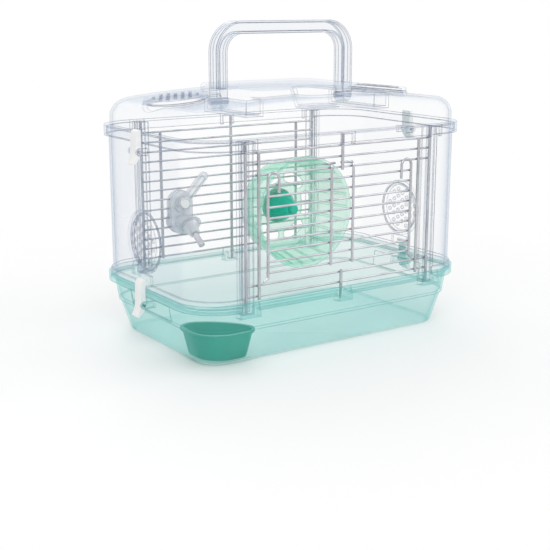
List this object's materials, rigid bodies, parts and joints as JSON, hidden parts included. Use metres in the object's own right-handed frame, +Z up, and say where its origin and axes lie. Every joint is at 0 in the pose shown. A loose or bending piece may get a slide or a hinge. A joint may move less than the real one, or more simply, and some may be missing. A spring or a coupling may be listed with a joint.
{
  "type": "hamster carrier",
  "caption": "Small-animal carrier: tray, clear end panels, wire door, domed lid with folding handle, running wheel, drinker and corner bowl.",
  "frame": {"origin": "centre of the footprint, on the surface the tray stands on", "axes": "+X along the long side towards the wheel, -Y towards the front with the door, +Z up"},
  "size_m": [0.3392, 0.211, 0.305],
  "materials": {
    "tray_plastic": "translucent teal, glossy",
    "clear_plastic": "clear with blue edges, glossy",
    "handle_plastic": "translucent teal, glossy",
    "steel_wire": "bright plated wire",
    "steel_pin": "polished",
    "white_plastic": "opaque, satin",
    "mint_plastic": "translucent mint, glossy",
    "green_plastic": "opaque, glossy"
  },
  "bodies": {
    "tray": {"base_tray": "tray_plastic", "lower_clip_pins": "steel_pin"},
    "enclosure": {"end_panel_left": "clear_plastic", "end_panel_right": "clear_plastic", "end_vent_left": "clear_plastic", "end_vent_right": "clear_plastic", "front_grille": "steel_wire", "back_grille": "steel_wire", "upper_clip_pins": "steel_pin", "wheel_mount": "green_plastic", "wheel_clamp": "green_plastic", "wheel_axle": "steel_pin", "axle_cap": "green_plastic", "drinker_plate": "mint_plastic", "drinker_body": "mint_plastic", "drinker_back": "mint_plastic", "drinker_bolt": "white_plastic", "spout_tube": "steel_pin"},
    "lid": {"lid_shell": "clear_plastic", "lid_vent_left": "clear_plastic", "lid_vent_right": "clear_plastic", "handle_pins": "steel_pin"},
    "handle": {"carry_handle": "handle_plastic"},
    "door": {"door": "steel_wire"},
    "wheel": {"wheel_drum": "mint_plastic", "wheel_hub": "green_plastic"},
    "upper_clip_left": {"upper_clip_left": "white_plastic"},
    "upper_clip_right": {"upper_clip_right": "white_plastic"},
    "lower_clip_left": {"lower_clip_left": "white_plastic"},
    "lower_clip_right": {"lower_clip_right": "white_plastic"},
    "bowl": {"food_bowl": "green_plastic"},
    "lever": {"turn_lever": "mint_plastic"},
    "ball": {"spout_ball": "steel_pin"}
  },
  "joints": [
    {"name": "enclosure_lift", "type": "slide", "parent": "tray", "child": "enclosure", "axis": [0, 0, 1], "range_m": [0, 0.12]},
    {"name": "lid_lift", "type": "slide", "parent": "enclosure", "child": "lid", "axis": [0, 0, 1], "range_m": [0, 0.08]},
    {"name": "handle_fold", "type": "hinge", "parent": "lid", "child": "handle", "pos_m": [0, 0, 0.231], "axis": [1, 0, 0], "range_deg": [0, 75]},
    {"name": "door_swing", "type": "hinge", "parent": "enclosure", "child": "door", "pos_m": [0, -0.0949, 0.074], "axis": [1, 0, 0], "range_deg": [0, 110]},
    {"name": "wheel_spin", "type": "hinge", "parent": "enclosure", "child": "wheel", "pos_m": [0.0565, 0.061, 0.104], "axis": [0, 1, 0], "continuous": true},
    {"name": "upper_clip_left_swing", "type": "hinge", "parent": "enclosure", "child": "upper_clip_left", "pos_m": [-0.163, 0, 0.19], "axis": [0, -1, 0], "range_deg": [0, 45]},
    {"name": "upper_clip_right_swing", "type": "hinge", "parent": "enclosure", "child": "upper_clip_right", "pos_m": [0.163, 0, 0.19], "axis": [0, 1, 0], "range_deg": [0, 45]},
    {"name": "lower_clip_left_swing", "type": "hinge", "parent": "tray", "child": "lower_clip_left", "pos_m": [-0.163, 0, 0.046], "axis": [0, -1, 0], "range_deg": [0, 45]},
    {"name": "lower_clip_right_swing", "type": "hinge", "parent": "tray", "child": "lower_clip_right", "pos_m": [0.163, 0, 0.046], "axis": [0, 1, 0], "range_deg": [0, 45]},
    {"name": "bowl_lift", "type": "slide", "parent": "tray", "child": "bowl", "axis": [0, 0, 1], "range_m": [0, 0.06]},
    {"name": "lever_turn", "type": "hinge", "parent": "enclosure", "child": "lever", "pos_m": [-0.065, 0.0883, 0.119], "axis": [0, -1, 0], "range_deg": [0, 90]},
    {"name": "ball_push", "type": "slide", "parent": "enclosure", "child": "ball", "axis": [0, 0.8192, 0.5736], "range_m": [0, 0.0008]}
  ]
}
